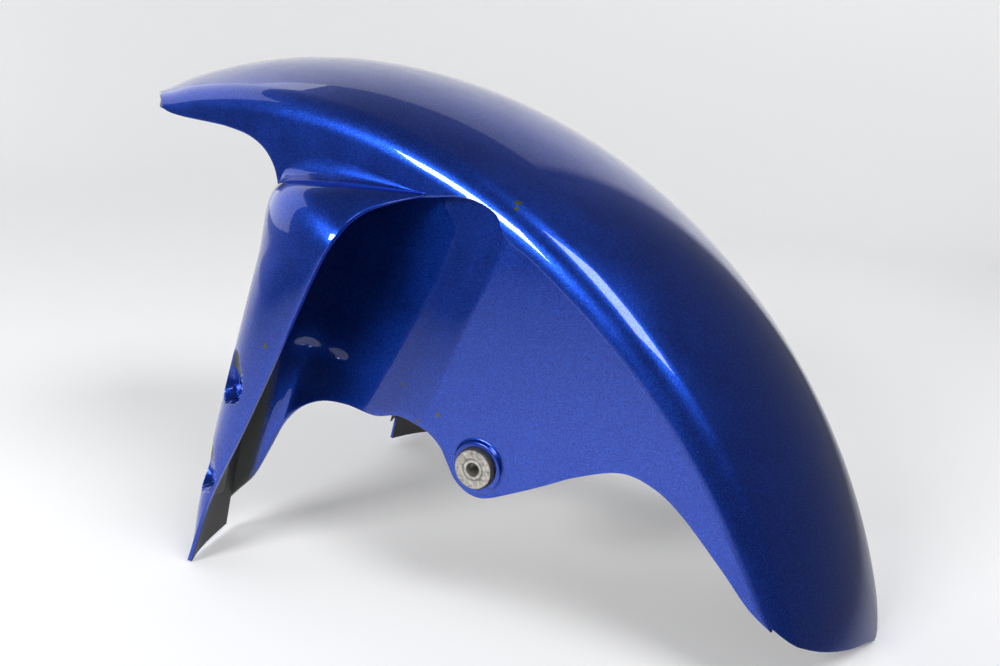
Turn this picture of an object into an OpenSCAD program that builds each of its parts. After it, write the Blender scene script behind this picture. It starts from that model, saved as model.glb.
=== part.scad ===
// Front mudguard of a road motorcycle: one moulded shell with a guard for
// each fork leg, and a rubber grommet and flanged metal collar in each side.
// Lengths are millimetres, measured from the wheel axis: x rearwards, z upwards.
// A side-view place is given as its depth below the crown's top line and its
// angle above the rear horizontal.  The shell is symmetrical about its middle.

/* [Crown] */
// Radius of the crown's outer face, measured from the wheel axis
crown_r = 322; // [300:1:345]
// Width of the crown over its shoulders
crown_w = 162; // [150:1:180]
// Radius of the crown's curve from side to side
crown_arc = 170; // [150:5:260]
// Drop from the crown's top line to the foot of its shoulders
shoulder_drop = 30; // [27:1:34]
// Thickness of the moulded wall
wall = 2.5; // [2:0.1:3.5]
// Angle of the beak's tip, forwards of the rear horizontal
beak_angle = 112.6; // [108:0.2:116]
// Radius of the beak's rounded tip in plan
beak_round = 14; // [6:1:24]
// Angle of the beak's sides from the middle line, in plan
beak_flare = 41.5; // [36:0.5:48]
// Angle of the tail's lowest point above the rear horizontal
tail_angle = 12.8; // [10:0.2:15]

/* [Side panels] */
// Step in from the crown's shoulder to the side panel
panel_step = 2; // [1.2:0.1:2.4]
// Angle of the fold between side panel and fork channel, from upright
fold_lean = 23.3; // [20:0.1:27]
// Depth of the fork channel below the panel's face
channel_depth = 8; // [4:0.5:12]

/* [Fork guards] */
// Width over the outer faces of the two fork guards
guard_w = 232; // [220:1:244]
// Weight of the guard's corner: a higher value is squarer
guard_square = 1.3; // [0.8:0.1:2]
// Distance of the guards' inner edge inside the crown's shoulder
root_inset = 1.5; // [1:0.1:2]
// Width of the screw pockets in the front of the guards
pocket_d = 17; // [14:1:20]
// Depth of the pockets at the screw's axis
pocket_depth = 6; // [4:0.5:8]
// Distance of the pockets from the shell's middle
pocket_y = 98; // [94:1:100]
// Bore of the screw hole in each pocket
pocket_hole_d = 6.5; // [5:0.5:9]

/* [Side fixings] */
// Depth of each side fixing below the crown's top line
fixing_drop = 118.7; // [116:0.1:122]
// Angle of each side fixing above the rear horizontal
fixing_angle = 44.9; // [44:0.1:46]
// Radius of the tab round each fixing
tab_r = 15.5; // [14:0.5:18]
// Width of the raised ring round each grommet
boss_d = 24; // [22.5:0.5:26]
// Height of that ring over the panel
boss_h = 2; // [1:0.1:3]
// Width of the hole for the grommet
grommet_hole_d = 14; // [13:0.5:15]
// Width of the grommet's flanges
grommet_d = 19.5; // [18.5:0.5:21]
// Thickness of each grommet flange
grommet_lip = 1.6; // [1:0.1:2.5]
// Width of the collar's flange
collar_d = 18; // [16:0.5:18]
// Thickness of the collar's flange
collar_lip = 1.5; // [1:0.1:2.5]
// Width of the collar's sleeve
sleeve_d = 9.5; // [8.8:0.1:11]
// Bore of the collar, for an M6 bolt
bore_d = 6.6; // [6.2:0.1:7]
// Gap between metal, rubber and shell
fit = 0.1; // [0.05:0.05:0.3]

/* [Hidden] */
facets = 48;
half_w = crown_w / 2;
panel_y = half_w - panel_step;
tip_y = guard_w / 2;

// Shoulder: a fillet that runs out of the crown's arc and ends upright
shoulder_r = (pow(half_w, 2) + pow(crown_arc - shoulder_drop, 2) - pow(crown_arc, 2))
    / (2 * (half_w - crown_arc));
shoulder_y = half_w - shoulder_r;
shoulder_turn = atan2(shoulder_y, crown_arc - shoulder_drop);
crease_r = crown_r - shoulder_drop;
// Angles where the crease meets the tail's edge and the fold, and where the channel meets the guard
crease_end_angle = 22;
fold_angle = 57.5;
cusp_angle = 83;
// The ring that the crown is cut from runs this much past both its ends
spare_angle = 4;
skirt_reach = 42;

// Where the shell stands: axis height over the ground, and middle of its length
axle_z = -crown_r * sin(tail_angle);
beak_x = crown_r * cos(beak_angle);
tail_x = crown_r * cos(tail_angle);
// Beak's rim in plan: where its straight side leaves the rounded tip, and where it meets the shoulder's foot
rim_start = [beak_x + beak_round * (1 - sin(beak_flare)), beak_round * cos(beak_flare)];
rim_foot_x = rim_start.x + (half_w - rim_start.y) / tan(beak_flare);
middle_x = (beak_x + tail_x) / 2;

bright_blue = [0.10, 0.16, 0.62];
rubber_black = [0.09, 0.09, 0.09];
zinc = [0.62, 0.61, 0.58];

// Point at a radius and an angle about the wheel axis
function polar(r, a) = [r * cos(a), r * sin(a)];

// Side-view place from its depth below the crown's top line and its angle
function below(p) = polar(crown_r - p[0], p[1]);
fixing = below([fixing_drop, fixing_angle]);

// Drop of the crown's outer face at a distance y from the middle
function drop_at(y) = abs(y) < shoulder_y + shoulder_r * sin(shoulder_turn)
    ? crown_arc - sqrt(pow(crown_arc, 2) - pow(y, 2))
    : shoulder_drop - sqrt(max(0, pow(shoulder_r, 2) - pow(abs(y) - shoulder_y, 2)));

// Smooth curve through a list of points, at place s from 0 to the last index
function through(p, s) =
    let (n = len(p) - 1, i = min(floor(s), n - 1), u = s - i,
         a = p[max(i - 1, 0)], b = p[i], c = p[i + 1], d = p[min(i + 2, n)],
         m = (c - a) / 2, k = (d - b) / 2)
    (2 * pow(u, 3) - 3 * pow(u, 2) + 1) * b + (pow(u, 3) - 2 * pow(u, 2) + u) * m
    + (3 * pow(u, 2) - 2 * pow(u, 3)) * c + (pow(u, 3) - pow(u, 2)) * k;

// Closed sheet between two grids of points of the same size
module sheet(outer, inner) {
    rows = len(outer);
    cols = len(outer[0]);
    n = rows * cols;
    points = concat([for (r = outer) each r], [for (r = inner) each r]);
    function at(i, j) = i * cols + j;
    faces = concat(
        [for (i = [0:rows - 2], j = [0:cols - 2])
            each [[at(i, j), at(i + 1, j), at(i + 1, j + 1)],
                  [at(i, j), at(i + 1, j + 1), at(i, j + 1)]]],
        [for (i = [0:rows - 2], j = [0:cols - 2])
            each [[n + at(i, j), n + at(i + 1, j + 1), n + at(i + 1, j)],
                  [n + at(i, j), n + at(i, j + 1), n + at(i + 1, j + 1)]]],
        [for (i = [0:rows - 2])
            each [[at(i, 0), n + at(i, 0), n + at(i + 1, 0)],
                  [at(i, 0), n + at(i + 1, 0), at(i + 1, 0)]]],
        [for (i = [0:rows - 2])
            each [[at(i, cols - 1), n + at(i + 1, cols - 1), n + at(i, cols - 1)],
                  [at(i, cols - 1), at(i + 1, cols - 1), n + at(i + 1, cols - 1)]]],
        [for (j = [0:cols - 2])
            each [[at(0, j), at(0, j + 1), n + at(0, j + 1)],
                  [at(0, j), n + at(0, j + 1), n + at(0, j)]]],
        [for (j = [0:cols - 2])
            each [[at(rows - 1, j), n + at(rows - 1, j + 1), at(rows - 1, j + 1)],
                  [at(rows - 1, j), n + at(rows - 1, j), n + at(rows - 1, j + 1)]]]);
    polyhedron(points, faces);
}

// Both sides of the shell from one near side
module both_sides() {
    children();
    mirror([0, 1, 0]) children();
}

// Lower edge of the side panel, from the tail's lowest point to the tab
tail_edge = [for (p = [[0, tail_angle], [5.6, 15.4], [16.2, 18.5], [29.2, 21.8], [36.9, 26.1], [43.5, 30.9],
    [49.5, 34], [59.6, 36.5], [78.7, 37.9]]) below(p)];
panel_edge = [for (s = [0:0.5:len(tail_edge) - 1]) through(tail_edge, s)];
// Lower edge of the fork channel, from the fold to the guard's inner corner
channel_edge = [for (p = [[130.1, 54.1], [136, 57.9], [146.6, 61.4], [153.1, 67], [160.1, 72], [170.2, 76.3],
    [183.2, 79.6], [198.8, 81.8], [214, 84.4], [223.5, 88.8], [231.3, 93.8]]) below(p)];
fold_top = channel_edge[0] + (crown_r - shoulder_drop - norm(channel_edge[0])) * [sin(fold_lean), cos(fold_lean)];
// Upper line of the channel: the guard's inner corner, the valley and the lip over the fork leg
cusp = below([61.1, cusp_angle + 0.1]);
valley = concat([cusp], [for (p = [[56, 80], [51.8, 76.7], [47.6, 73.1], [42.5, 69]]) below(p)]);
lip = [for (p = [[42.5, 69], [35.2, 66.1], [27.3, 63.8], [24.5, 61.9], [25, 60.1], [30.3, 58.2]]) below(p)];
// Lower edge of the beak: a quarter ellipse from the cusp, then level to the rim
beak_foot = below([35.4, 91.6]);
beak_edge = concat(
    [for (a = [0:15:90]) [beak_foot.x + (cusp.x - beak_foot.x) * cos(a),
                          cusp.y + (beak_foot.y - cusp.y) * sin(a)]],
    [below([33, 94.8]), polar(crease_r - 1, acos(rim_foot_x / crease_r)),
     [rim_foot_x - shoulder_drop, crease_r - shoulder_drop], [beak_x - shoulder_drop, 0]]);

// Side view of everything that belongs to the crown band
module crown_outline() {
    polygon(concat(
        beak_edge, [[beak_x - shoulder_drop, crown_r + 1], [crown_r + 1, crown_r + 1], [crown_r + 1, tail_edge[0].y - 10]],
        [for (i = [0:6]) panel_edge[i]],
        [for (a = [crease_end_angle:4:fold_angle]) polar(crease_r - 1, a)],
        [for (s = [len(lip) - 1:-0.5:0]) through(lip, s)],
        [for (s = [len(valley) - 1.5:-0.5:0.5]) through(valley, s)]));
}

// Plan view of the crown band: square at the rear, a rounded point at the beak
module crown_plan() {
    translate([beak_x + beak_round, 0]) circle(beak_round, $fn = facets);
    polygon([rim_start, [rim_foot_x + 1 / tan(beak_flare), half_w + 1], [crown_r, half_w + 1],
             [crown_r, -half_w - 1], [rim_foot_x + 1 / tan(beak_flare), -half_w - 1], [rim_start.x, -rim_start.y]]);
}

// Crown band in section, as a ring's section round the wheel axis
module crown_section(inset, foot_r) {
    intersection() {
        translate([crown_r - crown_arc, 0]) circle(crown_arc - inset, $fn = 2 * facets);
        union() {
            for (k = [-1, 1])
                translate([crease_r, k * shoulder_y]) circle(shoulder_r - inset, $fn = facets);
            translate([foot_r, -half_w + inset]) square([crease_r - foot_r, crown_w - 2 * inset]);
            translate([foot_r, -shoulder_y]) square([crown_r - foot_r, 2 * shoulder_y]);
        }
    }
}
module crown_band() {
    intersection() {
        rotate([90, 0, 0]) rotate([0, 0, tail_angle - spare_angle])
            rotate_extrude(angle = beak_angle - tail_angle + 2 * spare_angle, $fn = 2 * facets)
                difference() {
                    crown_section(0, crease_r - skirt_reach);
                    crown_section(wall, crease_r - skirt_reach - 1);
                }
        rotate([90, 0, 0]) linear_extrude(crown_w + 2, center = true) crown_outline();
        linear_extrude(crown_r + 1) crown_plan();
    }
}

// Flat panel behind the fold, with the tab that carries the fixing
module panel_outline() {
    polygon(concat([for (i = [5:len(panel_edge) - 1]) panel_edge[i]],
                [fixing + tab_r * [0.4, -0.92], fixing + tab_r * [-0.95, -0.28],
                 fixing + tab_r * [-1.26, 0.26], channel_edge[0], fold_top],
                [for (a = [fold_angle + 0.5:-4:crease_end_angle + 4]) polar(crease_r + 2, a)],
                [polar(crease_r + 5, crease_end_angle)]));
    translate(fixing) circle(tab_r, $fn = facets);
}
module side_panel() {
    translate([0, -panel_y + wall, 0]) rotate([90, 0, 0]) linear_extrude(wall) panel_outline();
    at_fixing() translate([0, 0, panel_y - wall / 2])
        cylinder(d = boss_d, h = boss_h + wall / 2, $fn = facets);
}

// Fork channel: a shallow trough between the fold and the guard's inner corner,
// from its lower edge up to the crown's inside
root_y = half_w - root_inset;
channel_front_angle = cusp_angle + 0.5;
function channel_y(t) = panel_y + (root_y + root_inset / 2 - panel_y) * t - channel_depth * sin(180 * t);
function channel_grid(set_in) = [for (t = [0:1 / 16:1])
    let (foot = through(channel_edge, t * (len(channel_edge) - 1)),
         y = channel_y(t),
         top = polar(crown_r - drop_at(y) - wall / 2, fold_angle + (channel_front_angle - fold_angle) * t))
    [for (u = [0:1 / 8:1])
        let (p = foot + (top - foot) * u) [p.x, -y + set_in, p.y]]];
module fork_channel() {
    sheet(channel_grid(0), channel_grid(wall));
}

// Fork guard: sections from the tip upwards and over the roof, each a conic
// from the inner edge round a corner point to the free edge.  A station holds
// its depth, its angle, and its share of the way from the inner edge to the tip.
inner_line = [[245.1, 95.9, 0], [217, 90.9, 0], [175.3, 87, 0], [132.8, 84.9, 0],
    [94.1, 83.6, 0], [60.6, 83, 0], [50.3, 76.8, 0], [41.6, 69.1, 0]];
corner_line = [[248, 93.9, 0.7], [217, 89.2, 0.97], [174.6, 85.7, 1.03], [130.5, 82.8, 1.03],
    [89.2, 81.1, 0.95], [53.3, 79.3, 0.89], [44, 74.6, 0.59], [40.3, 69, 0.1]];
free_line = [[249.7, 89.4, 1], [214.9, 82, 1], [170.2, 75.6, 1], [124.2, 72.4, 1],
    [80.4, 70.7, 1], [61, 69.8, 0.95], [48.9, 69.6, 0.64], [41, 68.3, 0.11]];
function station(p) = let (q = below(p)) [q.x, root_y + (tip_y - root_y) * p[2], q.y];
function bend(a, b, c, t) =
    let (w0 = pow(1 - t, 2), w1 = 2 * guard_square * t * (1 - t), w2 = pow(t, 2))
    (w0 * a + w1 * b + w2 * c) / (w0 + w1 + w2);
function guard_point(s, t) =
    bend(station(through(inner_line, s)), station(through(corner_line, s)), station(through(free_line, s)), t);
function guard_normal(s, t) = let (
    e = 0.02,
    a = guard_point(min(s + e, 7), t) - guard_point(max(s - e, 0), t),
    b = guard_point(s, min(t + e, 1)) - guard_point(s, max(t - e, 0)),
    n = cross(a, b)) n / norm(n);
function guard_grid(set_out, s0 = 0, s1 = 7, rows = 21) = [for (i = [0:rows])
    let (s = s0 + (s1 - s0) * i / rows)
    [for (t = [0:1 / 10:1])
        let (p = guard_point(s, t) + set_out * guard_normal(s, t)) [p.x, -p.y, p.z]]];
module fork_guard() {
    sheet(guard_grid(0), guard_grid(-wall));
}

// Screw pockets in the guard's front: flat floors that face forwards, cut into
// the leaning face, so each fades out at its top
pocket_places = [1.2, 2.37];
pocket_turn = 0.26;
pocket_skin = 0.3;
function pocket_at(s) = let (p = guard_point(s, pocket_turn)) [p.x, -pocket_y, p.z];
module pocket_form(w, x0, x1) {
    translate([x0, 0, 0]) rotate([90, 0, 90]) linear_extrude(x1 - x0) {
        circle(d = w, $fn = facets);
        translate([-w / 2, 0]) square([w, 1.3 * pocket_d]);
    }
}
module pocketed_guard() {
    difference() {
        union() {
            fork_guard();
            for (s = pocket_places) difference() {
                translate(pocket_at(s)) pocket_form(pocket_d + 2 * wall, -pocket_d / 2, pocket_depth + wall);
                sheet(guard_grid(1.6 * pocket_d, s - 0.6, s + 1.1, 6), guard_grid(-pocket_skin, s - 0.6, s + 1.1, 6));
            }
        }
        for (s = pocket_places) translate(pocket_at(s)) {
            pocket_form(pocket_d, -pocket_d, pocket_depth);
            translate([-pocket_d, 0, 0]) rotate([0, 90, 0])
                cylinder(d = pocket_hole_d, h = 2 * pocket_d, $fn = facets);
        }
    }
}

module mudguard_shell() {
    color(bright_blue) {
        crown_band();
        both_sides() {
            difference() {
                side_panel();
                at_fixing() cylinder(d = grommet_hole_d, h = panel_y + boss_h + 1, $fn = facets);
            }
            fork_channel();
            pocketed_guard();
        }
    }
}
// Axis of the near side fixing, drawn outwards from the shell's middle
module at_fixing() {
    translate([fixing.x, 0, fixing.y]) rotate([90, 0, 0]) children();
}

// Grommet: a sleeve of rubber with a flange on each side of the panel
grommet_out = panel_y + boss_h + fit;
grommet_in = panel_y - wall - fit;
module grommet() {
    color(rubber_black) at_fixing() difference() {
        union() {
            translate([0, 0, grommet_out]) cylinder(d = grommet_d, h = grommet_lip, $fn = facets);
            translate([0, 0, grommet_in - grommet_lip])
                cylinder(d = grommet_d, h = grommet_lip, $fn = facets);
            translate([0, 0, grommet_in - grommet_lip])
                cylinder(d = grommet_hole_d - 2 * fit, h = grommet_out - grommet_in + grommet_lip + 0.2,
                    $fn = facets);
        }
        translate([0, 0, grommet_in - grommet_lip - 1])
            cylinder(d = sleeve_d + 2 * fit, h = grommet_out - grommet_in + 2 * grommet_lip + 2,
                $fn = facets);
    }
}

// Collar: a steel sleeve with a flange over the grommet's outer face
collar_seat = grommet_out + grommet_lip + fit;
collar_face = collar_seat + collar_lip;
collar_len = collar_face - (grommet_in - grommet_lip);
module collar() {
    color(zinc) at_fixing() difference() {
        union() {
            translate([0, 0, collar_seat]) cylinder(d = collar_d, h = collar_lip, $fn = facets);
            translate([0, 0, collar_face - collar_len])
                cylinder(d = sleeve_d, h = collar_len - collar_lip / 2, $fn = facets);
        }
        translate([0, 0, collar_face - collar_len - 1])
            cylinder(d = bore_d, h = collar_len + 2, $fn = facets);
    }
}

module standing() {
    translate([-middle_x, 0, axle_z]) children();
}
standing() mudguard_shell();
standing() grommet();  // left_grommet
standing() mirror([0, 1, 0]) grommet();  // right_grommet
standing() collar();  // left_collar
standing() mirror([0, 1, 0]) collar();  // right_collar
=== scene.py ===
"""Front mudguard of a road motorcycle, with metallic blue paint.

Lengths in the shape functions are millimetres, measured from the wheel axis:
x rearwards, y to the motorcycle's right, z upwards.  place() turns them into
the metres and the origin of the CAD frame.
"""
import math

import bpy
import numpy as np
from mathutils import Matrix, Vector


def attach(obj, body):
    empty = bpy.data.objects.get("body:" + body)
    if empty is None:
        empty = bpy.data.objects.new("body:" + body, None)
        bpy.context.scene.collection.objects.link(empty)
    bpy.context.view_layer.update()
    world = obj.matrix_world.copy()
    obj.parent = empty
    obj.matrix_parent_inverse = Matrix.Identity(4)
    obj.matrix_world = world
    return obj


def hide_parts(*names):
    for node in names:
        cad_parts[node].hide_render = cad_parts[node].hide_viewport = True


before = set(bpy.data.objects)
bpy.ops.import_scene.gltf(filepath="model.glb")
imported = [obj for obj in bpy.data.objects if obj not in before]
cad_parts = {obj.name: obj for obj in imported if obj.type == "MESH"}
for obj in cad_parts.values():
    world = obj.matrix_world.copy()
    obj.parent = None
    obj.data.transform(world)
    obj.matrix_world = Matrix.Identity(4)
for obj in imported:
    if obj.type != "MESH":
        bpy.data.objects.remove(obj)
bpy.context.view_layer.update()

# Driving sizes, as in the part's source
crown_r = 322.0
half_w = 81.0
crown_arc = 170.0
shoulder_drop = 30.0
wall = 2.5
beak_angle = 112.6
beak_round = 14.0
beak_flare = 41.5
tail_angle = 12.8
panel_y = half_w - 2.0
channel_depth = 8.0
guard_square = 1.3
fixing_x, fixing_z = 144.0, 143.5
# Screw pockets on the far guard's corner: middle of each outline, and the way in and along
pockets = [(12.6, 112.0, 121.0), (29.8, 111.9, 169.0)]
pocket_in = np.array([0.40, -0.917, 0.0])
pocket_along = np.array([0.917, 0.40, 0.0])
pocket_r, pocket_depth, screw_r = 8.5, 4.6, 2.7
ring_hole_r = 9.0
# Small forms that the part's source leaves plain
rim_forward = 3.2
beak_corner_droop = 2.3
step_round = 0.75
rim_round = 0.45
roof_rise = 13.0
lowest_inside = 71.8
# Turns one side of the motorcycle into the other
mirror = (1, -1, 1)

shoulder_r = ((half_w**2 + (crown_arc - shoulder_drop)**2 - crown_arc**2)
              / (2 * (half_w - crown_arc)))
shoulder_y = half_w - shoulder_r
shoulder_turn = math.atan2(shoulder_y, crown_arc - shoulder_drop)
beak_x = crown_r * math.cos(math.radians(beak_angle))
tail_x = crown_r * math.cos(math.radians(tail_angle))
middle_x = (beak_x + tail_x) / 2
axle_z = -crown_r * math.sin(math.radians(tail_angle))


def place(points):
    """Wheel-axis millimetres to frame metres: a shift along x and z, then a thousandth."""
    return (np.asarray(points, float) + (-middle_x, 0.0, axle_z)) / 1000


def through(points, s):
    """Catmull-Rom curve through a list of points, at the places s from 0 to the last index."""
    p = np.asarray(points, float)
    s = np.clip(np.asarray(s, float), 0, len(p) - 1)
    i = np.minimum(s.astype(int), len(p) - 2)
    u = (s - i)[..., None]
    a, b, c, d = p[np.maximum(i - 1, 0)], p[i], p[i + 1], p[np.minimum(i + 2, len(p) - 1)]
    m, k = (c - a) / 2, (d - b) / 2
    return ((2 * u**3 - 3 * u**2 + 1) * b + (u**3 - 2 * u**2 + u) * m
            + (3 * u**2 - 2 * u**3) * c + (u**3 - u**2) * k)


def even(points, places):
    """The same curve by its length: places run from 0 at its start to 1 at its end."""
    fine = through(points, np.linspace(0, len(points) - 1, 60 * len(points)))
    run = np.r_[0, np.cumsum(np.linalg.norm(np.diff(fine, axis=0), axis=1))]
    return np.stack([np.interp(places, run / run[-1], fine[:, k]) for k in range(fine.shape[1])], -1)


def smooth(v):
    """0 below 0, 1 above 1, and 3v^2 - 2v^3 between."""
    v = np.clip(v, 0, 1)
    return v * v * (3 - 2 * v)


# Side-view lines of the shell
tail_edge = [[314.0, 71.45], [311, 78.3], [304.7, 84.8], [295, 92.6], [284.5, 101.3], [272, 111.5]]
# The crown's lower line, from the tail forwards to the cusp below the beak
lip_line = [[279.5, 104], [272.5, 113], [264.5, 127], [253, 145.5], [234, 174.3], [204.3, 208.7],
            [170, 237.4], [153.5, 248], [148.6, 256.6], [140, 261.6], [129, 263.6], [116, 262.3],
            [100, 261], [80, 262], [62, 262.4], [46, 261.4], [31.5, 259]]
fold_place = 7
beak_side = [[31.5, 259], [29.5, 268], [24, 276.2], [15, 281.8], [2.6, 285.1], [-7, 286.5],
             [-23, 288.4], [-33, 290.3], [-39.3, 292.9]]
channel_edge = [[112.5, 155.5], [99, 157.5], [84, 154], [66, 155.5], [50, 154], [36, 147.5],
                [25, 136.5], [16.5, 121], [8, 105.5], [-1.5, 95.5], [-9, 87.5]]
panel_edge = [[112.5, 155.5], [117.5, 153.2], [123.5, 148], [127.6, 141], [131.8, 134], [138, 129.4],
              [144.5, 128], [151, 129.5], [160, 133.5], [175, 140.7], [192, 149.3], [211, 155.6],
              [226, 152.2], [239, 143], [256, 125.5], [268, 112.5], [279.5, 104]]
# How far the top of the beak droops below the crown's circle, by place along the shell
droop_line = [[-124, 6.5], [-111, 7.2], [-100, 7.3], [-84, 6.8], [-57, 3.6], [-30, 1.5], [-7, 0.5],
              [20, 0]]
# How finely each stretch of the shell is divided
arc_cols, fillet_cols, skirt_cols, step_cols, wall_cols, root_cols = 13, 16, 5, 5, 26, 8
beak_rows, channel_rows, panel_rows = 46, 84, 150


def lower_line():
    """Side-view points of the band's lower line, from the beak's rim to the tail.

    They are evenly spaced along the beak's side, then along the crown's lower line to the fold
    between channel and panel, and from there to the tail."""
    beak = even(beak_side[::-1], np.linspace(0, 1, beak_rows + 1))[:-1]
    spots = np.linspace(0, len(lip_line) - 1, 1200)
    fine = through(lip_line[::-1], spots)
    run = np.r_[0, np.cumsum(np.linalg.norm(np.diff(fine, axis=0), axis=1))]
    fold_run = np.interp(len(lip_line) - 1 - fold_place, spots, run)
    places = np.r_[np.linspace(0, fold_run, channel_rows + 1)[:-1],
                   np.linspace(fold_run, run[-1], panel_rows + 1)]
    lip = np.stack([np.interp(places, run, fine[:, k]) for k in (0, 1)], -1)
    return np.vstack([beak, lip])


def crown_section(limit):
    """The crown's section, one row for each depth limit: how far each point lies to the side,
    how deep it lies below the crown, and its face's turn from upwards to sideways.

    Wide arc: y = arc sin turn, depth = arc (1 - cos turn).  A shoulder fillet of the same form
    follows, and then an upright skirt down to the limit."""
    rows = len(limit)
    turn_end = np.arccos(np.clip((shoulder_drop - limit) / shoulder_r, 0, 1))
    arc_turn = np.linspace(0, 1, arc_cols + 1) * shoulder_turn
    turn = np.concatenate([np.broadcast_to(arc_turn, (rows, arc_cols + 1)),
                           shoulder_turn + (turn_end - shoulder_turn)[:, None]
                           * np.linspace(0, 1, fillet_cols + 1)[1:]], 1)
    wide = turn <= shoulder_turn
    y = np.where(wide, crown_arc * np.sin(turn), shoulder_y + shoulder_r * np.sin(turn))
    depth = np.where(wide, crown_arc * (1 - np.cos(turn)), shoulder_drop - shoulder_r * np.cos(turn))
    skirt = depth[:, -1:] + (limit[:, None] - depth[:, -1:]) * np.linspace(0, 1, skirt_cols + 1)[1:]
    turn = np.concatenate([turn, np.full_like(skirt, math.pi / 2)], 1)
    y = np.concatenate([y, np.broadcast_to(y[:, -1:], skirt.shape)], 1)
    return y, np.concatenate([depth, skirt], 1), turn


def beak_rim(y):
    """Place of the beak's rim along the shell: a round tip, a straight flare, and the corners a
    little further forward."""
    flare = math.radians(beak_flare)
    tip = beak_x + beak_round
    corner_y = beak_round * math.cos(flare)
    corner_x = tip - beak_round * math.sin(flare)
    rim_x = np.where(y < corner_y, tip - np.sqrt(np.maximum(beak_round**2 - y**2, 0)),
                     corner_x + (y - corner_y) / math.tan(flare))
    return rim_x - rim_forward * smooth((y - 20) / 45)


def crown_points(line, y, depth, turn, inset):
    """Points of the crown, the inset below its outer face: x = radius cos a, z = radius sin a.

    Each column's angle a runs from the beak's rim to the tail's cut, evenly with the angle of the
    lower line.  The beak droops by its line, and a little more at the rim's corners."""
    line_r, line_a = np.hypot(line[:, 0], line[:, 1]), np.arctan2(line[:, 1], line[:, 0])
    cusp, fold = beak_rows, beak_rows + channel_rows
    index, here = np.arange(len(line))[:, None], line_a[:, None]
    to_front = np.clip((here - line_a[cusp]) / (line_a[0] - line_a[cusp]), 0, 1)
    to_rear = np.clip((line_a[fold] - here) / (line_a[fold] - line_a[-1]), 0, 1)

    radius = crown_r - depth - inset * np.cos(turn)
    front_a = np.arccos(np.clip(beak_rim(y) / radius, -1, 1))
    cut = through(tail_edge, np.linspace(0, len(tail_edge) - 1, 400))
    rear_a = np.interp(-radius, -np.hypot(cut[:, 0], cut[:, 1]), np.arctan2(cut[:, 1], cut[:, 0]))
    a = np.where(index < cusp, line_a[cusp] + (front_a - line_a[cusp]) * to_front,
                 np.where(index > fold, line_a[fold] + (rear_a - line_a[fold]) * to_rear, here))
    p = np.stack([radius * np.cos(a), inset * np.sin(turn) - y, radius * np.sin(a)], -1)

    droop = np.interp(p[..., 0], [q[0] for q in droop_line], [q[1] for q in droop_line])
    corner = beak_corner_droop * smooth((to_front - 0.72) / 0.28) * smooth(depth / 10)
    p[..., 2] -= (droop + corner) * (1 - smooth(depth / (crown_r - line_r)[:, None]))
    return p


def wall_points(foot, foot_y):
    """Points of the channel and the panel, and each row's place across the channel, 1 in front.

    They lie on straight side-view lines from the band's lower line to the free edge.  A small
    rounded step leads in first, and the channel dips in by a half sine between its two edges."""
    edge = np.vstack([even(channel_edge[::-1], np.linspace(0, 1, channel_rows + 1))[:-1],
                      even(panel_edge, tab_spacing(panel_rows + 1))])
    t = np.r_[np.clip(1 - np.arange(channel_rows) / channel_rows, 0, 1), np.zeros(panel_rows + 1)]
    down = edge - foot
    length = np.maximum(np.linalg.norm(down, axis=1, keepdims=True), 1e-6)
    base = (panel_y + (half_w - 0.8 - panel_y) * t)[:, None]
    base = foot_y + (base - foot_y) * smooth(length / 8)
    dip = channel_depth * np.sin(np.pi * t)[:, None]
    inset = foot_y - base + 0.82 * dip

    round_off = np.minimum(np.minimum(step_round, 0.45 * inset), 0.25 * length)
    q = np.linspace(0, math.pi / 2, step_cols)[1:]
    fall = np.concatenate([round_off * np.sin(q), 1.15 * round_off], 1)
    go_in = np.concatenate([round_off * (1 - np.cos(q)), inset], 1)
    start = fall[:, -1:] / length
    v_wall = start + (1 - start) * np.linspace(0, 1, wall_cols + 1)[1:]
    v = np.concatenate([fall / length, v_wall], 1)
    xz = foot[:, None] + down[:, None] * v[..., None]
    side = np.concatenate([foot_y - go_in, base - dip * (0.82 + 0.18 * smooth(v_wall * 3))], 1)
    return np.stack([xz[..., 0], -side, xz[..., 1]], -1), t


def half_shell():
    """Outer and inner face of one half of the shell, its quads, and the paint's cover.

    Rows run from the beak to the tail.  Columns run from the middle over the crown's arc, round
    the shoulder and down the skirt to the band's lower line, then in over a small step and down
    the wall to the free edge.  The inner face lies one wall thickness in: towards the section's
    centre under the crown, and towards the middle behind the walls.  The cover is thin at the
    channel's lower front."""
    line = lower_line()
    y, depth, turn = crown_section(crown_r - np.hypot(line[:, 0], line[:, 1]))
    crown, crown_in = (crown_points(line, y, depth, turn, inset) for inset in (0.0, wall))
    walls, across = wall_points(line[beak_rows:], y[beak_rows:, -1:])
    walls_in = walls + (0, wall, 0)

    crown_id = np.arange(y.size).reshape(y.shape)
    wall_id = crown_id.size + np.arange(walls[..., 0].size).reshape(len(walls), -1)
    wall_id = np.concatenate([crown_id[beak_rows:, -1:], wall_id], 1)
    outer = np.vstack([crown.reshape(-1, 3), walls.reshape(-1, 3)])
    inner = np.vstack([crown_in.reshape(-1, 3), walls_in.reshape(-1, 3)])
    faces = np.vstack([quads(crown_id), quads(wall_id)])
    on_wall = np.arange(len(outer)) >= crown_id.size
    faces = cut_hole(outer, inner, faces, (fixing_x, -panel_y, fixing_z), (1, 0, 0), ring_hole_r, on_wall)

    cover = np.ones(len(outer))
    front = smooth((across - 0.75) / 0.16)[:, None] * smooth((215 - walls[..., 2]) / 60)
    cover[crown_id.size:] = 1 - 0.95 * front.reshape(-1)
    return outer, inner, faces, cover


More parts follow.
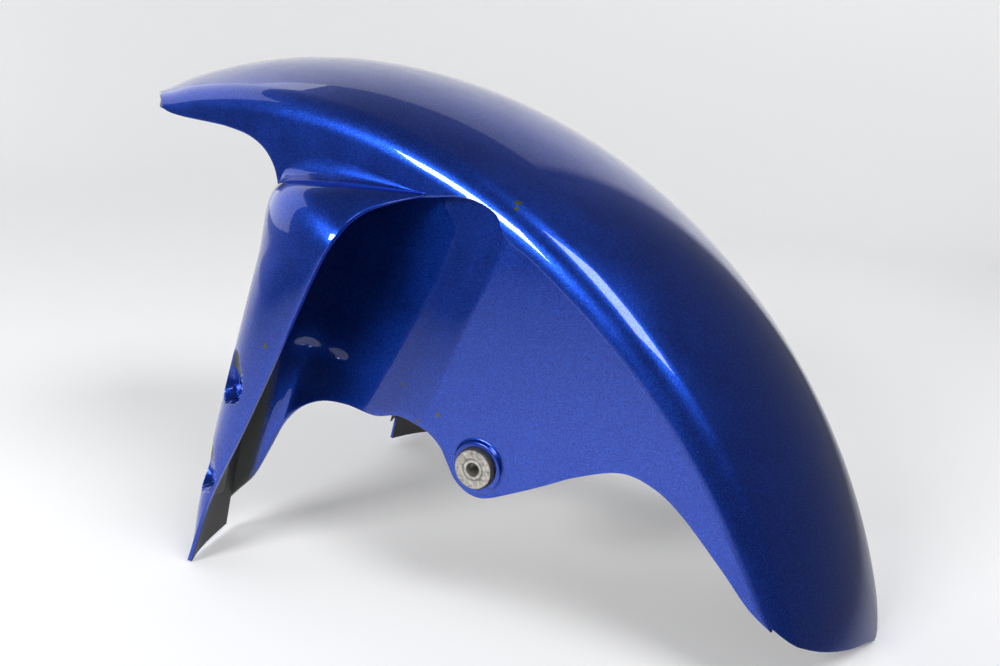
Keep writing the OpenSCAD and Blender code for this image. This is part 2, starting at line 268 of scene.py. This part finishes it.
def cut_hole(outer, inner, faces, centre, along, radius, only):
    """Quads whose middle lies inside a circle are left out, and the edge points that remain are
    moved onto the circle along its radius.  The circle's plane holds the line along and z."""
    along, up = np.asarray(along, float), np.array([0.0, 0, 1])
    flat = np.stack([(outer - centre) @ along, (outer - centre) @ up], -1)
    middle = flat[faces].mean(1)
    gone = (np.hypot(middle[:, 0], middle[:, 1]) < radius) & only[faces].all(1)
    rim = np.intersect1d(faces[gone], faces[~gone])
    far = np.maximum(np.hypot(flat[rim, 0], flat[rim, 1])[:, None], 1e-6)
    move = flat[rim] * (radius / far - 1)
    for grid in (outer, inner):
        grid[rim] += move[:, :1] * along + move[:, 1:] * up
    return faces[~gone]


def tab_spacing(n):
    """Places along the panel's lower edge, closer together round the tab."""
    u = np.linspace(0, 1, n)
    weight = 1 / (1 + 1.6 * np.exp(-((u - 0.17) / 0.14)**2))
    run = np.r_[0, np.cumsum((weight[1:] + weight[:-1]) / 2)]
    return run / run[-1]


def quads(ids):
    """Quads of a grid of point numbers."""
    return np.stack([ids[:-1, :-1], ids[:-1, 1:], ids[1:, 1:], ids[1:, :-1]], -1).reshape(-1, 4)


# The guard's lines on the far side: where it meets the wall, round its corner, and its free edge
inner_line = [[-9.9, 79.8, 76.0], [-3.2, 79.8, 105], [7.6, 79.8, 146.5], [16.8, 79.8, 188.5],
              [25.4, 79.8, 226.5], [31.8, 79.8, 259.5], [66, 79.8, 264.5], [112, 80.2, 263.4]]
corner_line = [[-5, 105, 73.8], [1.5, 115, 105], [11, 117, 147], [24, 117, 190],
               [36, 114, 230], [50, 112, 264], [76, 101, 268], [112, 81.6, 263.6]]
free_line = [[0.8, 116, 72.6], [15, 116, 106], [37.8, 116, 147], [59.8, 116, 188.5],
             [80, 116, 228], [90, 114, 245], [97, 102, 256], [114, 82.2, 262.6]]


def conic(s, t):
    """Points of the guard at s along its lines and t across them.

    Across, it is a conic from the inner line round the corner line to the free line, the mean of
    the three with weights (1 - t)^2, 2 guard_square t (1 - t) and t^2."""
    a, b, c = (through(q, s)[:, None] for q in (inner_line, corner_line, free_line))
    t = np.asarray(t)[None, :, None]
    w0, w1, w2 = (1 - t)**2, 2 * guard_square * t * (1 - t), t**2
    return (w0 * a + w1 * b + w2 * c) / (w0 + w1 + w2)


def pocket_side(points, middle, radius):
    """Distance outside a pocket's outline: a half circle below, and a half ellipse above that is
    1 / 0.52 times as high."""
    u, v = (points - middle) @ pocket_along, points[:, 2] - middle[2]
    return np.hypot(u, v * np.where(v > 0, 0.52, 1)) - radius


def guard_face(s, t):
    """The guard's outer face along s and across t, with the columns of its root before them.

    Over the roof a fillet, a parabola between two tangents, leads from the crown's upright wall
    into the conic.  Elsewhere the root's columns are the conic's own."""
    guard = conic(s, t)
    plain_root = conic(s, np.linspace(0, t[0], root_cols + 1)[:-1])
    rise = roof_rise * smooth((s - 4.7) / 0.9) * (1 - 0.85 * smooth((s - 5.9) / 1.1))
    foot, root = through(inner_line, s), guard[:, 0]
    along = guard[:, 1] - root
    along /= np.maximum(np.linalg.norm(along, axis=1, keepdims=True), 1e-6)
    top = np.stack([foot[:, 0], np.full(len(s), half_w - 0.12), foot[:, 2] + rise], -1)
    reach = (root[:, 1:2] - top[:, 1:2]) / np.maximum(along[:, 1:2], 0.05)
    bend_point = root - along * np.clip(reach, 0, 30)
    u = np.linspace(0, 1, root_cols + 1)[None, :-1, None]
    fillet = (1 - u)**2 * top[:, None] + 2 * u * (1 - u) * bend_point[:, None] + u**2 * root[:, None]
    mix = smooth((s - 4.7) / 0.5)[:, None, None]
    return np.concatenate([fillet * mix + plain_root * (1 - mix), guard], 1)


def press_pocket(middle, outer, inner, faces, free):
    """Moves both faces back to a flat floor inside the pocket's outline and cuts its screw hole.

    Only the free part of the guard moves.  Returns the quads that remain."""
    for grid, plane, radius in ((outer, pocket_depth, pocket_r),
                                (inner, pocket_depth + wall, pocket_r + wall)):
        mask = smooth(0.5 - pocket_side(grid, middle, radius) / 1.1) * free
        grid += (np.maximum(plane - (grid - middle) @ pocket_in, 0) * mask)[:, None] * pocket_in
    flat = np.hypot((outer - middle) @ pocket_along, outer[:, 2] - middle[2])
    near = (free > 0.9) & (flat < screw_r + 1.5)
    outer[near] += ((pocket_depth - (outer[near] - middle) @ pocket_in))[:, None] * pocket_in
    inner[near] = outer[near] + wall * pocket_in
    return cut_hole(outer, inner, faces, middle, pocket_along, screw_r, free > 0.9)


def fork_guard():
    """Outer and inner face of the guard before one fork leg and of its roof, its quads, and the
    paint's cover.

    Rows run up the guard and back over the roof, close together at the pockets.  The inner face
    lies one wall thickness in along the normals, and the wall thins towards the roof's rear end.
    The cover is thin in the pockets' tops: bare plastic, and painted shade of their upper walls."""
    s = np.r_[np.linspace(0, 0.85, 18)[:-1], np.linspace(0.85, 2.95, 104)[:-1], np.linspace(2.95, 7, 76)]
    t = np.r_[np.linspace(0.12, 0.30, 8)[:-1], np.linspace(0.30, 0.74, 42)[:-1], np.linspace(0.74, 1, 10)]
    face = guard_face(s, t)
    rows, cols = face.shape[:2]
    normal = np.cross(np.gradient(face, axis=0), np.gradient(face, axis=1))
    normal /= np.maximum(np.linalg.norm(normal, axis=-1, keepdims=True), 1e-9)
    # The normals have to look forwards
    if normal[rows // 3, cols // 3, 0] > 0:
        normal = -normal
    thin = wall * (1 - 0.75 * smooth((s - 5.6) / 1.3))
    behind = face - thin[:, None, None] * normal
    behind[..., 2] = np.maximum(behind[..., 2], lowest_inside)
    outer, inner = face.reshape(-1, 3).copy(), behind.reshape(-1, 3).copy()
    faces = quads(np.arange(rows * cols).reshape(rows, cols))

    # Only the guard below its roof is pressed, and not its root or its free edge
    beside_edge = np.r_[np.zeros(root_cols), smooth((1 - t) / 0.1)]
    free = np.repeat(s < 3.4, cols) * np.tile(beside_edge, rows)
    cover = np.ones(len(outer))
    for middle in pockets:
        # Each pocket's top half loses its cover: bare plastic, and painted shade of the pocket's upper wall
        high = outer[:, 2] - middle[2] - 1 + (outer - middle) @ pocket_along * 0.6
        cover *= 1 - smooth(0.5 - pocket_side(outer, middle, pocket_r) / 0.8) * free * smooth(high / 2)
        faces = press_pocket(middle, outer, inner, faces, free)
    return outer * mirror, inner * mirror, faces, cover


def both_halves(outer, inner, faces, cover):
    """A sheet and its mirror image as one, with the points that meet in the middle merged."""
    top = np.vstack([outer, outer * mirror])
    under = np.vstack([inner, inner * mirror])
    faces = np.vstack([faces, faces[:, ::-1] + len(outer)])
    key = np.round(np.hstack([top, under]) / 2e-3).astype(np.int64)
    _, first, member = np.unique(key, axis=0, return_index=True, return_inverse=True)
    return top[first], under[first], member.reshape(-1)[faces], np.r_[cover, cover][first]


def closed_sheet(name, outer, inner, faces, cover):
    """Piece made of a sheet and its mirror image, closed round all its edges with rounded rims.

    Near each edge the faces draw back by the rim's radius towards the sheet's inside.  Quarter
    ellipses lead from there into the edge's flat: edge + inward(1 - sin q) + across(1 - cos q)."""
    top, under, both, cover = both_halves(outer, inner, faces, cover)
    n = len(top)
    # Edges with a face on one side only, and the rim's next and last point from each of its points
    edges = np.concatenate([both[:, [k, (k + 1) % 4]] for k in range(4)])
    edges = edges[edges[:, 0] != edges[:, 1]]
    code, back = edges[:, 0] * n + edges[:, 1], edges[:, 1] * n + edges[:, 0]
    rim_edges = edges[~np.isin(code, back)]
    on_rim = np.unique(rim_edges)
    after, before = np.zeros(n, int), np.zeros(n, int)
    after[rim_edges[:, 0]] = rim_edges[:, 1]
    before[rim_edges[:, 1]] = rim_edges[:, 0]
    slot_of = np.full(n, -1)
    slot_of[on_rim] = np.arange(len(on_rim))

    def inward(grid):
        """Way from each rim point into its sheet, square to the rim and as long as its radius."""
        m, count = np.zeros_like(grid), np.zeros(n)
        middle = grid[both].mean(1)
        for k in range(4):
            np.add.at(m, both[:, k], middle - grid[both[:, k]])
            np.add.at(count, both[:, k], 1)
        m = m[on_rim] / count[on_rim, None]
        line = grid[after[on_rim]] - grid[before[on_rim]]
        line /= np.maximum(np.linalg.norm(line, axis=1, keepdims=True), 1e-9)
        m -= (m * line).sum(1, keepdims=True) * line
        size = np.linalg.norm(m, axis=1, keepdims=True)
        return m / np.maximum(size, 1e-9) * np.minimum(rim_round, 0.9 * size)

    across = under[on_rim] - top[on_rim]
    thick = np.linalg.norm(across, axis=1, keepdims=True)
    across = across / np.maximum(thick, 1e-9) * np.minimum(rim_round, 0.4 * thick)
    turns = [math.radians(q) for q in (0, 30, 60, 90)]
    in_top, in_under = inward(top), inward(under)
    rings = [top[on_rim] + in_top * (1 - math.sin(q)) + across * (1 - math.cos(q)) for q in turns]
    rings += [under[on_rim] + in_under * (1 - math.sin(q)) - across * (1 - math.cos(q))
              for q in turns[::-1]]
    top[on_rim], under[on_rim] = rings[0], rings[-1]
    m = len(on_rim)
    points = np.vstack([top, under] + rings[1:-1])
    ring_ids = [on_rim] + [2 * n + k * m + np.arange(m) for k in range(len(rings) - 2)] + [n + on_rim]
    a, b = slot_of[rim_edges[:, 0]], slot_of[rim_edges[:, 1]]
    strips = [np.stack([p[b], p[a], q[a], q[b]], -1) for p, q in zip(ring_ids[:-1], ring_ids[1:])]
    polygons = np.vstack([both, both[:, ::-1] + n] + strips)
    kinds = np.r_[np.zeros(len(both), int), np.ones(len(both), int),
                  np.repeat([0, 0, 0, 0, 1, 1, 1], m)]
    keep, kept_kinds = [], []
    for poly, kind in zip(polygons.tolist(), kinds.tolist()):
        poly = [v for i, v in enumerate(poly) if v != poly[i - 1]]
        if len(poly) > 2:
            keep.append(poly)
            kept_kinds.append(kind)
    cover = np.concatenate([cover, cover] + [cover[on_rim]] * (len(rings) - 2))
    return new_piece(name, points, keep, cover, 40, kept_kinds)


def fixing_rings(turns=72):
    """The raised rings round the grommets and the lining of the panel's hole behind them.

    One outline of radius and height is turned about the fixing's axis:
    x = fixing_x + radius cos q, z = fixing_z + radius sin q.  The far ring is the mirror image."""
    outline = np.array([(7.0, -2.4), (7.0, 1.7), (7.12, 1.91), (7.35, 2.0), (11.45, 2.0), (11.8, 1.85),
                        (12.0, 1.5), (12.08, 0.9), (12.3, 0.42), (12.75, 0.1), (13.5, -0.03),
                        (13.5, -0.6), (9.4, -0.6), (9.4, -2.4)])
    radius, height = outline.T
    q = np.linspace(0, 2 * math.pi, turns, endpoint=False)[:, None]
    across = np.broadcast_to(-(panel_y + height), (turns, len(outline)))
    near = np.stack([fixing_x + radius * np.cos(q), across, fixing_z + radius * np.sin(q)], -1)
    near = near.reshape(-1, 3)
    ids = np.arange(len(near)).reshape(turns, -1)
    beside, after = np.roll(ids, -1, 1), np.roll(ids, -1, 0)
    faces = np.stack([ids, beside, np.roll(after, -1, 1), after], -1).reshape(-1, 4)
    points = np.vstack([near, near * mirror])
    faces = np.vstack([faces, faces[:, ::-1] + len(near)])
    return new_piece("fixing_rings", points, faces.tolist(), np.ones(len(points)), 50)


def new_piece(name, points, faces, cover, sharp_angle, kinds=None):
    """Object at the origin with the points' places and the paint's cover in its mesh.  Edges
    that bend more than the sharp angle stay sharp, and kinds give each face its material."""
    mesh = bpy.data.meshes.new(name)
    mesh.from_pydata(place(points).tolist(), [], faces)
    if kinds:
        mesh.polygons.foreach_set("material_index", kinds)
    mesh.polygons.foreach_set("use_smooth", [True] * len(faces))
    share = mesh.attributes.new("cover", "FLOAT", "POINT")
    share.data.foreach_set("value", cover)
    mesh.update()
    mesh.set_sharp_from_angle(angle=math.radians(sharp_angle))
    obj = bpy.data.objects.new(name, mesh)
    bpy.context.collection.objects.link(obj)
    return obj


def new_material(name):
    """Material with its nodes, its links and its principled shader."""
    material = bpy.data.materials.new(name)
    material.use_nodes = True
    nodes, links = material.node_tree.nodes, material.node_tree.links
    return material, nodes, links, nodes["Principled BSDF"]


def set_values(node, **values):
    """Sets a node's sockets by name, with an underscore for each space."""
    for key, value in values.items():
        node.inputs[key.replace("_", " ")].default_value = value
    return node


def ramp(nodes, stops):
    """Colour ramp through the stops: place, and colour or grey."""
    node = nodes.new("ShaderNodeValToRGB")
    while len(node.color_ramp.elements) < len(stops):
        node.color_ramp.elements.new(0.5)
    for element, (position, value) in zip(node.color_ramp.elements, stops):
        element.position = position
        element.color = value if isinstance(value, tuple) else (value, value, value, 1)
    return node


def overspray_and_shade(nodes, links, where):
    """Share of paint over the plastic, and painted shade in the pockets' tops: the cover attribute, broken
    up by noise where it fades.
    """
    cover = nodes.new("ShaderNodeAttribute")
    cover.attribute_name = "cover"
    speck = set_values(nodes.new("ShaderNodeTexNoise"), Scale=900.0, Detail=4.0)
    links.new(where, speck.inputs["Vector"])
    spread = set_values(nodes.new("ShaderNodeMapRange"), From_Min=0.25, From_Max=0.75,
                        To_Min=-0.22, To_Max=0.22)
    links.new(speck.outputs["Fac"], spread.inputs["Value"])
    total = nodes.new("ShaderNodeMath")
    total.operation = "ADD"
    links.new(cover.outputs["Fac"], total.inputs[0])
    links.new(spread.outputs["Result"], total.inputs[1])
    limit = set_values(nodes.new("ShaderNodeMapRange"), From_Min=0.25, From_Max=0.75)
    links.new(total.outputs["Value"], limit.inputs["Value"])
    mix = nodes.new("ShaderNodeMix")
    mix.data_type = "RGBA"
    return mix, limit.outputs["Result"]


# Places of the stone chips in the frame, with their radii, in millimetres
stone_chips = [(60, -74.4, 191.4, 1.5), (60, -76, 188.6, 1.0), (6, -76, 102, 0.9),
               (27, -79, 92, 1.1), (-42, -116, 121, 1.2), (16, -79, 87, 0.9)]


def chips(nodes, links, where):
    """1 inside the stone chips: a ragged spot round each of their places."""
    ragged = set_values(nodes.new("ShaderNodeTexNoise"), Scale=1500.0, Detail=3.0)
    links.new(where, ragged.inputs["Vector"])
    total = None
    for x, y, z, r in stone_chips:
        away = nodes.new("ShaderNodeVectorMath")
        away.operation = "DISTANCE"
        away.inputs[1].default_value = (x / 1000, y / 1000, z / 1000)
        links.new(where, away.inputs[0])
        edge = nodes.new("ShaderNodeMath")
        edge.operation = "MULTIPLY_ADD"
        edge.inputs[1].default_value = 0.0022
        links.new(ragged.outputs["Fac"], edge.inputs[0])
        links.new(away.outputs["Value"], edge.inputs[2])
        inside = nodes.new("ShaderNodeMath")
        inside.operation = "LESS_THAN"
        inside.inputs[1].default_value = r / 1000 + 0.0011
        links.new(edge.outputs["Value"], inside.inputs[0])
        if total is None:
            total = inside.outputs["Value"]
        else:
            both = nodes.new("ShaderNodeMath")
            both.operation = "MAXIMUM"
            links.new(total, both.inputs[0])
            links.new(inside.outputs["Value"], both.inputs[1])
            total = both.outputs["Value"]
    return total


def paint():
    """Metallic blue base coat with flakes, unevenly dulled, under clear lacquer with orange peel."""
    material, nodes, links, shader = new_material("blue_paint")
    set_values(shader, Coat_Roughness=0.025, Coat_IOR=1.5)
    where = nodes.new("ShaderNodeTexCoord").outputs["Object"]

    flakes = set_values(nodes.new("ShaderNodeTexVoronoi"), Scale=5200.0)
    links.new(where, flakes.inputs["Vector"])
    shade = ramp(nodes, [(0.0, (0.003, 0.016, 0.24, 1)), (0.55, (0.004, 0.036, 0.39, 1)),
                         (1.0, (0.015, 0.125, 0.72, 1))])
    split = nodes.new("ShaderNodeSeparateColor")
    links.new(flakes.outputs["Color"], split.inputs["Color"])
    links.new(split.outputs["Red"], shade.inputs["Fac"])
    # Bare plastic where the cover fades: overspray at the channel's lower front, and painted shade in the
    # pockets' tops
    bare, fade = overspray_and_shade(nodes, links, where)
    links.new(fade, bare.inputs[0])
    links.new(shade.outputs["Color"], bare.inputs[7])
    bare.inputs[6].default_value = (0.060, 0.066, 0.060, 1)
    chipped = nodes.new("ShaderNodeMix")
    chipped.data_type = "RGBA"
    chipped.inputs[7].default_value = (0.075, 0.085, 0.022, 1)
    links.new(chips(nodes, links, where), chipped.inputs[0])
    links.new(bare.outputs[2], chipped.inputs[6])
    links.new(chipped.outputs[2], shader.inputs["Base Color"])
    for name, whole in (("Metallic", 0.92), ("Coat Weight", 1.0)):
        shader.inputs[name].default_value = whole
        part = nodes.new("ShaderNodeMath")
        part.operation = "MULTIPLY"
        part.inputs[1].default_value = whole
        links.new(fade, part.inputs[0])
        links.new(part.outputs["Value"], shader.inputs[name])

    haze = set_values(nodes.new("ShaderNodeTexNoise"), Scale=38.0, Detail=6.0, Roughness=0.62)
    links.new(where, haze.inputs["Vector"])
    rough = set_values(nodes.new("ShaderNodeMapRange"), From_Min=0.3, From_Max=0.75,
                       To_Min=0.27, To_Max=0.40)
    links.new(haze.outputs["Fac"], rough.inputs["Value"])
    links.new(rough.outputs["Result"], shader.inputs["Roughness"])

    tilt = set_values(nodes.new("ShaderNodeBump"), Strength=0.10, Distance=0.00006)
    links.new(split.outputs["Green"], tilt.inputs["Height"])
    links.new(tilt.outputs["Normal"], shader.inputs["Normal"])
    peel = set_values(nodes.new("ShaderNodeTexNoise"), Scale=260.0, Detail=2.0)
    links.new(where, peel.inputs["Vector"])
    wave = set_values(nodes.new("ShaderNodeBump"), Strength=0.12, Distance=0.00005)
    links.new(peel.outputs["Fac"], wave.inputs["Height"])
    links.new(wave.outputs["Normal"], shader.inputs["Coat Normal"])
    return material


def bare_plastic():
    """Moulded black plastic with a fine grain, on the faces that carry no paint."""
    material, nodes, links, shader = new_material("bare_plastic")
    where = nodes.new("ShaderNodeTexCoord").outputs["Object"]
    tone = set_values(nodes.new("ShaderNodeTexNoise"), Scale=30.0, Detail=5.0)
    links.new(where, tone.inputs["Vector"])
    shade = ramp(nodes, [(0.3, (0.008, 0.008, 0.010, 1)), (0.7, (0.020, 0.020, 0.022, 1))])
    links.new(tone.outputs["Fac"], shade.inputs["Fac"])
    links.new(shade.outputs["Color"], shader.inputs["Base Color"])
    shader.inputs["Roughness"].default_value = 0.46
    grain = set_values(nodes.new("ShaderNodeTexNoise"), Scale=1600.0, Detail=2.0)
    links.new(where, grain.inputs["Vector"])
    bump = set_values(nodes.new("ShaderNodeBump"), Strength=0.18, Distance=0.0001)
    links.new(grain.outputs["Fac"], bump.inputs["Height"])
    links.new(bump.outputs["Normal"], shader.inputs["Normal"])
    return material


def rubber():
    """Black rubber, slightly dusty."""
    material, nodes, links, shader = new_material("grommet_rubber")
    where = nodes.new("ShaderNodeTexCoord").outputs["Object"]
    dust = set_values(nodes.new("ShaderNodeTexNoise"), Scale=420.0, Detail=6.0, Roughness=0.65)
    links.new(where, dust.inputs["Vector"])
    shade = ramp(nodes, [(0.4, (0.010, 0.010, 0.011, 1)), (0.75, (0.045, 0.044, 0.042, 1))])
    links.new(dust.outputs["Fac"], shade.inputs["Fac"])
    links.new(shade.outputs["Color"], shader.inputs["Base Color"])
    shader.inputs["Roughness"].default_value = 0.62
    bump = set_values(nodes.new("ShaderNodeBump"), Strength=0.25, Distance=0.0001)
    links.new(dust.outputs["Fac"], bump.inputs["Height"])
    links.new(bump.outputs["Normal"], shader.inputs["Normal"])
    return material


def zinc():
    """Dull zinc-plated steel, mottled and lightly stained."""
    material, nodes, links, shader = new_material("dull_zinc")
    where = nodes.new("ShaderNodeTexCoord").outputs["Object"]
    mottle = set_values(nodes.new("ShaderNodeTexNoise"), Scale=520.0, Detail=7.0, Roughness=0.7)
    links.new(where, mottle.inputs["Vector"])
    shade = ramp(nodes, [(0.3, (0.20, 0.18, 0.15, 1)), (0.5, (0.50, 0.48, 0.43, 1)),
                         (0.72, (0.80, 0.79, 0.74, 1))])
    links.new(mottle.outputs["Fac"], shade.inputs["Fac"])
    # Turned rings: shade by distance from the fixing's axis, from the bore outwards
    parts = nodes.new("ShaderNodeSeparateXYZ")
    links.new(where, parts.inputs["Vector"])
    flat = nodes.new("ShaderNodeCombineXYZ")
    links.new(parts.outputs["X"], flat.inputs["X"])
    links.new(parts.outputs["Z"], flat.inputs["Z"])
    away = nodes.new("ShaderNodeVectorMath")
    away.operation = "DISTANCE"
    away.inputs[1].default_value = ((fixing_x - middle_x) / 1000, 0, (fixing_z + axle_z) / 1000)
    links.new(flat.outputs["Vector"], away.inputs[0])
    across = set_values(nodes.new("ShaderNodeMapRange"), From_Min=0.0, From_Max=0.010)
    links.new(away.outputs["Value"], across.inputs["Value"])
    turned = ramp(nodes, [(0.30, 0.9), (0.44, 1.0), (0.47, 0.35), (0.52, 0.55), (0.56, 0.85),
                          (0.84, 0.9), (0.9, 0.6)])
    links.new(across.outputs["Result"], turned.inputs["Fac"])
    whole = nodes.new("ShaderNodeMix")
    whole.data_type = "RGBA"
    whole.blend_type = "MULTIPLY"
    whole.inputs[0].default_value = 1.0
    links.new(shade.outputs["Color"], whole.inputs[6])
    links.new(turned.outputs["Color"], whole.inputs[7])
    links.new(whole.outputs[2], shader.inputs["Base Color"])
    shader.inputs["Metallic"].default_value = 0.85
    rough = set_values(nodes.new("ShaderNodeMapRange"), From_Min=0.3, From_Max=0.7,
                       To_Min=0.62, To_Max=0.42)
    links.new(mottle.outputs["Fac"], rough.inputs["Value"])
    links.new(rough.outputs["Result"], shader.inputs["Roughness"])
    bump = set_values(nodes.new("ShaderNodeBump"), Strength=0.3, Distance=0.0001)
    links.new(mottle.outputs["Fac"], bump.inputs["Height"])
    links.new(bump.outputs["Normal"], shader.inputs["Normal"])
    return material


blue, black = paint(), bare_plastic()
body = closed_sheet("shell_body", *half_shell())
guards = closed_sheet("shell_guards", *fork_guard())
rings = fixing_rings()
for piece in (body, guards, rings):
    piece.data.materials.append(blue)
    if piece is not rings:
        piece.data.materials.append(black)
    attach(piece, "root")
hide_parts("mudguard_shell")
for small_part, finish in (("grommet", rubber()), ("collar", zinc())):
    for side in ("left_", "right_"):
        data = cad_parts[side + small_part].data
        data.materials.clear()
        data.materials.append(finish)


def camera():
    """The photograph's camera: place, heading, tilt and roll, and a focal length of 0.9507 widths."""
    azimuth, elevation, roll = (math.radians(v) for v in (27.10, 14.064, 2.77))
    back = np.array([math.sin(azimuth) * math.cos(elevation), -math.cos(azimuth) * math.cos(elevation),
                     math.sin(elevation)])
    level = np.array([math.cos(azimuth), math.sin(azimuth), 0])
    above = np.cross(back, level)
    right = math.cos(roll) * level + math.sin(roll) * above
    up = np.cross(back, right)
    data = bpy.data.cameras.new("camera")
    data.sensor_width = 36
    data.lens = 0.9507 * data.sensor_width
    data.clip_start = 0.01
    obj = bpy.data.objects.new("camera", data)
    obj.matrix_world = Matrix(np.column_stack([right, up, back, (0.23766, -0.43272, 0.23482)]).tolist()
                              + [[0, 0, 0, 1]])
    bpy.context.collection.objects.link(obj)
    bpy.context.scene.camera = obj


def area_light(name, spot, target, size, size_y, power):
    """Rectangular lamp at a spot, turned towards its target: sizes in metres, power in watts."""
    data = bpy.data.lights.new(name, "AREA")
    data.shape = "RECTANGLE"
    data.size, data.size_y = size, size_y
    data.energy = power
    obj = bpy.data.objects.new(name, data)
    bpy.context.collection.objects.link(obj)
    obj.location = spot
    obj.rotation_euler = (Vector(spot) - Vector(target)).to_track_quat("Z", "Y").to_euler()
    return obj


def toward(azimuth, elevation, distance):
    """Place at a heading (0 towards the near side, 90 rearwards) and height above the level."""
    a, e = math.radians(azimuth), math.radians(elevation)
    return (distance * math.sin(a) * math.cos(e), -distance * math.cos(a) * math.cos(e),
            0.12 + distance * math.sin(e))


def pale_floor():
    """Matt pale floor.  Where the lacquer shows it, it darkens towards the camera and to the
    right, as a room would, and there only: the camera and the light see one plain tone."""
    material, nodes, links, shader = new_material("pale_floor")
    set_values(shader, Base_Color=(0.84, 0.84, 0.84, 1), Roughness=0.6,
               Emission_Color=(1.0, 0.99, 0.98, 1), Emission_Strength=0.14)
    where = nodes.new("ShaderNodeSeparateXYZ")
    links.new(nodes.new("ShaderNodeTexCoord").outputs["Object"], where.inputs["Vector"])
    near = set_values(nodes.new("ShaderNodeMapRange"), From_Min=-0.95, From_Max=-0.22,
                      To_Min=0.12, To_Max=1.0)
    aside = set_values(nodes.new("ShaderNodeMapRange"), From_Min=0.14, From_Max=0.27,
                       To_Min=1.0, To_Max=0.12)
    links.new(where.outputs["Y"], near.inputs["Value"])
    links.new(where.outputs["X"], aside.inputs["Value"])
    both = nodes.new("ShaderNodeMath")
    both.operation = "MULTIPLY"
    links.new(near.outputs["Result"], both.inputs[0])
    links.new(aside.outputs["Result"], both.inputs[1])
    share = nodes.new("ShaderNodeMix")
    share.inputs[2].default_value = 1.0
    links.new(nodes.new("ShaderNodeLightPath").outputs["Is Glossy Ray"], share.inputs[0])
    links.new(both.outputs["Value"], share.inputs[3])
    dimmed = nodes.new("ShaderNodeMixShader")
    links.new(share.outputs[0], dimmed.inputs[0])
    links.new(shader.outputs["BSDF"], dimmed.inputs[2])
    links.new(dimmed.outputs["Shader"], nodes["Material Output"].inputs["Surface"])
    return material


def sweep():
    """Flat floor that rises behind the object in a quarter circle to an upright wall.

    To the right of the picture it goes on without showing in the lacquer."""
    flat_end, bend_r, wall_top = 1.3, 0.5, 2.7
    left_end, picture_right, right_end = -6.0, 0.36, 2.5
    run = [(-flat_end, 0.0), (flat_end, 0.0)]
    run += [(flat_end + bend_r * math.sin(q), bend_r - bend_r * math.cos(q))
            for q in np.linspace(0, math.pi / 2, 17)[1:]]
    run += [(flat_end + bend_r, wall_top)]
    material = pale_floor()
    for name, left, right in (("floor", left_end, picture_right), ("floor_right", picture_right, right_end)):
        points = [(x, y, z) for y, z in run for x in (left, right)]
        faces = [(2 * k, 2 * k + 1, 2 * k + 3, 2 * k + 2) for k in range(len(run) - 1)]
        mesh = bpy.data.meshes.new(name)
        mesh.from_pydata(points, [], faces)
        mesh.polygons.foreach_set("use_smooth", [True] * len(faces))
        mesh.materials.append(material)
        floor = bpy.data.objects.new(name, mesh)
        bpy.context.collection.objects.link(floor)
        floor.visible_glossy = name == "floor"


def lamps():
    """A small key that draws the white lines along the folds, a wide window on the left for the
    crown's sheen, a fill from the right, and a faint room."""
    world = bpy.data.worlds.new("studio")
    world.use_nodes = True
    set_values(world.node_tree.nodes["Background"], Color=(0.8, 0.86, 1.0, 1), Strength=0.13)
    bpy.context.scene.world = world
    bpy.context.scene.view_settings.view_transform = "Standard"
    area_light("key", toward(-12, 24, 1.7), (0, 0, 0.12), 0.62, 0.36, 19)
    area_light("window", (-3.4, 0.6, 1.9), (0.2, 0.3, 0.3), 6.0, 3.7, 84)
    area_light("fill", toward(70, 52, 2.0), (0, 0.3, 0), 0.9, 0.9, 22)


camera()
sweep()
lamps()
